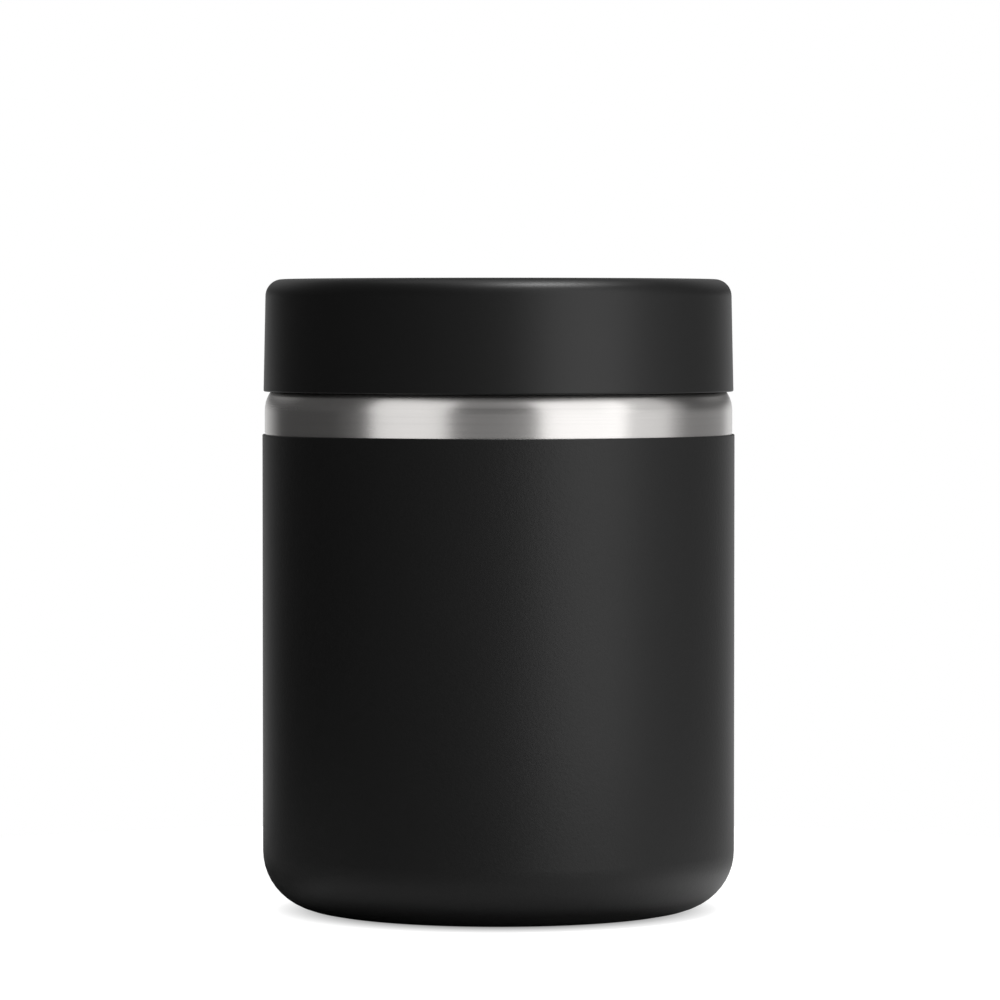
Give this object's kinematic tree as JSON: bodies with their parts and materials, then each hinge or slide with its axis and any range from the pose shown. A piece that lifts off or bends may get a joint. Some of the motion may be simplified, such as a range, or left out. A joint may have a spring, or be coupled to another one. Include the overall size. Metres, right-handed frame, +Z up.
{
  "type": "insulated food jar",
  "caption": "Wide-mouth vacuum-insulated steel food jar with a rounded base, a bare steel band under a screw lid, and an insulated plug lid with a gasket.",
  "frame": {"origin": "middle of the base, on the surface that the jar stands on", "axes": "+Z up along the jar's axis; the jar is round, and +X and +Y are any two directions at right angles across it"},
  "size_m": [0.101, 0.101, 0.135],
  "materials": {
    "steel": "brushed round the axis",
    "coat": "fine satin powder coat",
    "solder": "cast, dull",
    "getter": "pressed powder",
    "foil": "bright copper foil",
    "lid_plastic": "fine moulded satin",
    "inner_plastic": "smooth moulded",
    "foam": "closed-cell foam",
    "silicone": "matt silicone"
  },
  "bodies": {
    "jar": {"outer_shell": "steel", "outer_base": "steel", "inner_liner": "steel", "body_coat": "coat", "base_cover": "steel", "vacuum_seal": "solder", "getter_holder": "steel", "getter_pellet": "getter", "radiation_foil": "foil"},
    "lid_seal": {"lid_gasket": "silicone"},
    "lid": {"lid_shell": "lid_plastic", "inner_cap": "inner_plastic", "plug_disc": "inner_plastic", "lid_foam": "foam"}
  },
  "joints": [
    {"name": "lid_rise", "type": "slide", "parent": "jar", "child": "lid_seal", "axis": [0, 0, 1], "range_m": [0, 0.024]},
    {"name": "lid_turn", "type": "hinge", "parent": "lid_seal", "child": "lid", "pos_m": [0, 0, 0.1236], "axis": [0, 0, 1], "range_deg": [0, 720]}
  ],
  "couplings": [
    {"joint": "lid_rise", "follows": "lid_turn", "m_per_rad": 0.0019098}
  ]
}
